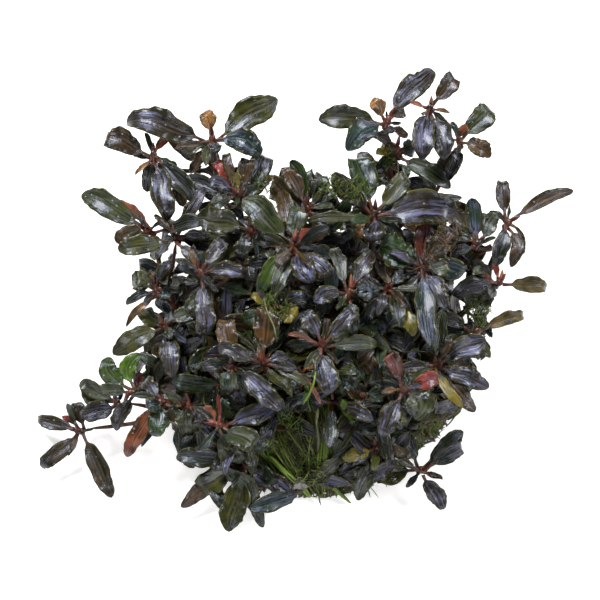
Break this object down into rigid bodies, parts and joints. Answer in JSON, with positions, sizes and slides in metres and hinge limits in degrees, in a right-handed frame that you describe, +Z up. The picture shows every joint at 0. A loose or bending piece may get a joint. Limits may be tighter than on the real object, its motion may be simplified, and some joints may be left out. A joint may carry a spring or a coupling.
{
  "type": "bucephalandra",
  "caption": "Matted clump of bucephalandra, an aquarium plant: wavy dark leaves in rosettes on branching stems over a mat of roots.",
  "frame": {"origin": "middle of the flat underside of the root mat, on the surface that the clump rests on", "axes": "+Z up, away from the surface; +X along the clump's longest side, to the right as seen from its front edge; +Y away from the front edge, where the bare root mat shows, towards the tall shoots"},
  "size_m": [0.1705, 0.1382, 0.0585],
  "materials": {
    "leaf": "gloss",
    "stem": "satin",
    "root_dark": "matte",
    "root_green": "satin"
  },
  "bodies": {
    "root": {"leaves_01": "leaf", "leaves_02": "leaf", "leaves_03": "leaf", "leaves_04": "leaf", "leaves_05": "leaf", "leaves_06": "leaf", "leaves_07": "leaf", "leaves_08": "leaf", "leaves_09": "leaf", "leaves_10": "leaf", "leaves_11": "leaf", "leaves_12": "leaf", "leaves_13": "leaf", "leaves_14": "leaf", "leaves_15": "leaf", "leaves_16": "leaf", "leaves_17": "leaf", "leaves_18": "leaf", "leaves_19": "leaf", "leaves_20": "leaf", "leaves_21": "leaf", "leaves_22": "leaf", "leaves_23": "leaf", "leaves_24": "leaf", "leaves_25": "leaf", "leaves_26": "leaf", "leaves_27": "leaf", "leaves_28": "leaf", "leaves_29": "leaf", "leaves_30": "leaf", "leaves_31": "leaf", "leaves_32": "leaf", "leaves_33": "leaf", "leaves_34": "leaf", "leaves_35": "leaf", "leaves_36": "leaf", "leaves_37": "leaf", "leaves_38": "leaf", "leaves_39": "leaf", "leaves_40": "leaf", "stem_01": "stem", "stem_02": "stem", "stem_03": "stem", "stem_04": "stem", "stem_05": "stem", "stem_06": "stem", "stem_07": "stem", "stem_08": "stem", "stem_09": "stem", "stem_10": "stem", "stem_11": "stem", "stem_12": "stem", "stem_13": "stem", "stem_14": "stem", "stem_15": "stem", "root_mat": "root_dark", "roots_left": "root_green", "roots_middle": "root_green"}
  },
  "joints": []
}
